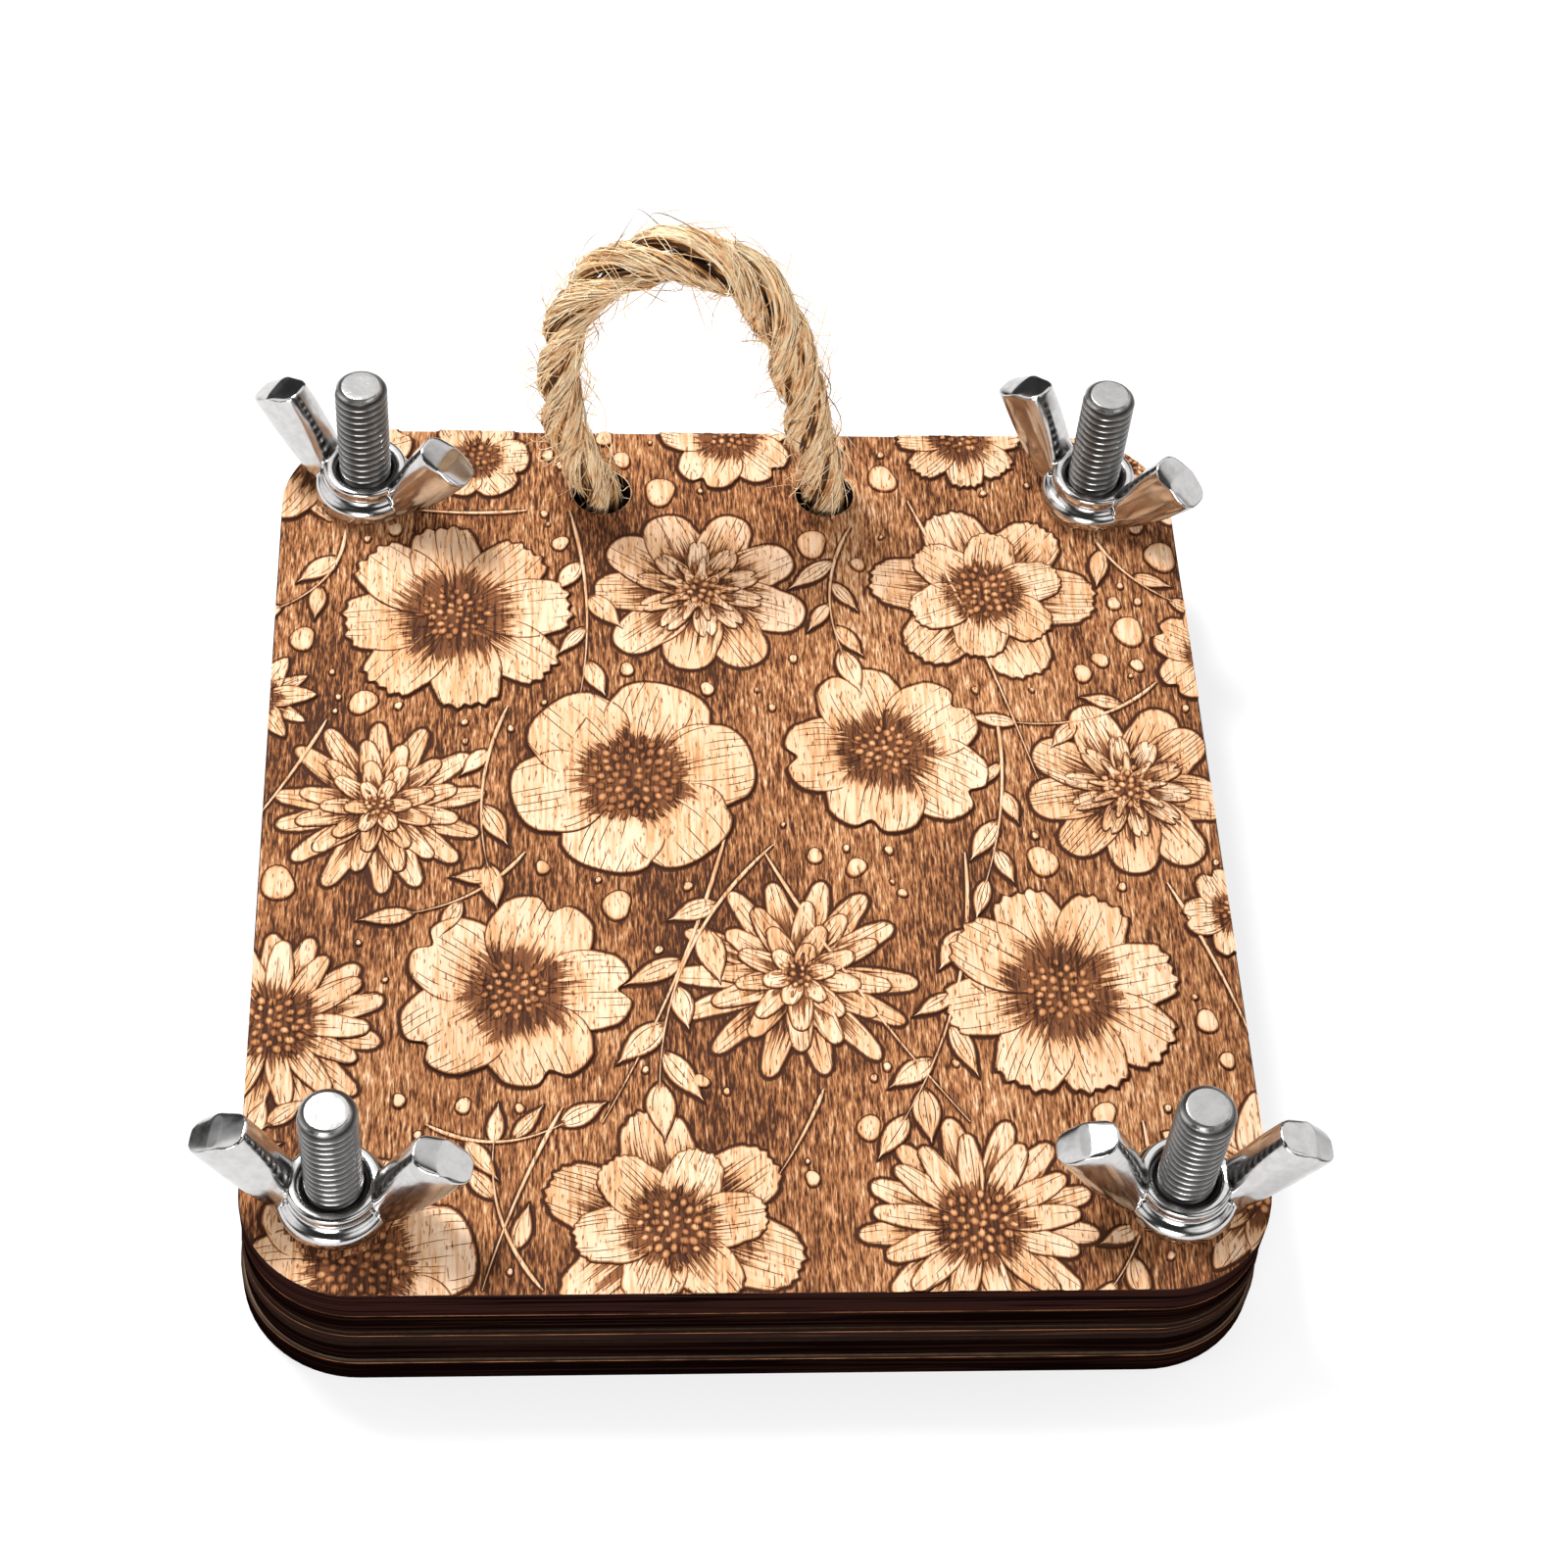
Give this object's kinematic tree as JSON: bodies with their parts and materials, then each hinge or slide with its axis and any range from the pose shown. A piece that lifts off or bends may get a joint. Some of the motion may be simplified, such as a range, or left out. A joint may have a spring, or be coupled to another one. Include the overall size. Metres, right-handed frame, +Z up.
{
  "type": "flower press",
  "caption": "Small plywood flower press with a burnt floral top, blotting sheets, wing nuts on bolts, and a jute rope loop.",
  "frame": {"origin": "middle of the underside of the bottom board, on the surface that the press stands on", "axes": "+X to the right, +Y towards the rope loop at the back, +Z up along the bolts"},
  "size_m": [0.1134, 0.1162, 0.0562],
  "materials": {
    "engraved_ply": "laser-engraved birch plywood, matte",
    "ply": "birch plywood with laser-burnt edges, matte",
    "inner_ply": "thin plywood with laser-burnt edges, matte",
    "blotting_paper": "soft absorbent paper, matte",
    "card": "dense grey-brown card, matte",
    "bolt_steel": "bright zinc-plated machine thread",
    "nut_steel": "bright nickel-plated forged steel",
    "jute": "hairy three-strand jute rope"
  },
  "bodies": {
    "base": {"bottom_board": "ply", "bolt_front_left": "bolt_steel", "bolt_front_right": "bolt_steel", "bolt_back_left": "bolt_steel", "bolt_back_right": "bolt_steel"},
    "inner_board_lower": {"inner_board_lower": "inner_ply"},
    "blotter_1": {"blotter_1": "blotting_paper"},
    "blotter_2": {"blotter_2": "blotting_paper"},
    "divider": {"divider": "card"},
    "blotter_3": {"blotter_3": "blotting_paper"},
    "blotter_4": {"blotter_4": "blotting_paper"},
    "inner_board_upper": {"inner_board_upper": "inner_ply"},
    "top_board": {"top_board": "engraved_ply", "rope": "jute", "rope_knot_left": "jute", "rope_knot_right": "jute"},
    "wing_nut_front_left": {"wing_nut_front_left": "nut_steel"},
    "wing_nut_front_right": {"wing_nut_front_right": "nut_steel"},
    "wing_nut_back_left": {"wing_nut_back_left": "nut_steel"},
    "wing_nut_back_right": {"wing_nut_back_right": "nut_steel"}
  },
  "joints": [
    {"name": "front_left_nut_turn", "type": "hinge", "parent": "top_board", "child": "wing_nut_front_left", "pos_m": [-0.0427, -0.0473, 0.0168], "axis": [0, 0, 1], "range_deg": [0, 4680]},
    {"name": "front_right_nut_turn", "type": "hinge", "parent": "top_board", "child": "wing_nut_front_right", "pos_m": [0.0427, -0.0473, 0.0168], "axis": [0, 0, 1], "range_deg": [0, 4680]},
    {"name": "back_left_nut_turn", "type": "hinge", "parent": "top_board", "child": "wing_nut_back_left", "pos_m": [-0.0427, 0.0473, 0.0168], "axis": [0, 0, 1], "range_deg": [0, 4680]},
    {"name": "back_right_nut_turn", "type": "hinge", "parent": "top_board", "child": "wing_nut_back_right", "pos_m": [0.0427, 0.0473, 0.0168], "axis": [0, 0, 1], "range_deg": [0, 4680]},
    {"name": "top_board_lift", "type": "slide", "parent": "base", "child": "top_board", "axis": [0, 0, 1], "range_m": [0, 0.013]},
    {"name": "inner_board_lower_lift", "type": "slide", "parent": "base", "child": "inner_board_lower", "axis": [0, 0, 1], "range_m": [0, 0.00162]},
    {"name": "blotter_1_lift", "type": "slide", "parent": "base", "child": "blotter_1", "axis": [0, 0, 1], "range_m": [0, 0.00325]},
    {"name": "blotter_2_lift", "type": "slide", "parent": "base", "child": "blotter_2", "axis": [0, 0, 1], "range_m": [0, 0.00487]},
    {"name": "divider_lift", "type": "slide", "parent": "base", "child": "divider", "axis": [0, 0, 1], "range_m": [0, 0.0065]},
    {"name": "blotter_3_lift", "type": "slide", "parent": "base", "child": "blotter_3", "axis": [0, 0, 1], "range_m": [0, 0.00813]},
    {"name": "blotter_4_lift", "type": "slide", "parent": "base", "child": "blotter_4", "axis": [0, 0, 1], "range_m": [0, 0.00975]},
    {"name": "inner_board_upper_lift", "type": "slide", "parent": "base", "child": "inner_board_upper", "axis": [0, 0, 1], "range_m": [0, 0.01137]}
  ],
  "couplings": [
    {"joint": "front_right_nut_turn", "follows": "front_left_nut_turn", "ratio": 1},
    {"joint": "back_left_nut_turn", "follows": "front_left_nut_turn", "ratio": 1},
    {"joint": "back_right_nut_turn", "follows": "front_left_nut_turn", "ratio": 1},
    {"joint": "top_board_lift", "follows": "front_left_nut_turn", "m_per_rad": 0.00015915},
    {"joint": "inner_board_lower_lift", "follows": "front_left_nut_turn", "m_per_rad": 0.000019894},
    {"joint": "blotter_1_lift", "follows": "front_left_nut_turn", "m_per_rad": 0.000039789},
    {"joint": "blotter_2_lift", "follows": "front_left_nut_turn", "m_per_rad": 0.000059683},
    {"joint": "divider_lift", "follows": "front_left_nut_turn", "m_per_rad": 0.000079577},
    {"joint": "blotter_3_lift", "follows": "front_left_nut_turn", "m_per_rad": 0.000099472},
    {"joint": "blotter_4_lift", "follows": "front_left_nut_turn", "m_per_rad": 0.00011937},
    {"joint": "inner_board_upper_lift", "follows": "front_left_nut_turn", "m_per_rad": 0.00013926}
  ]
}
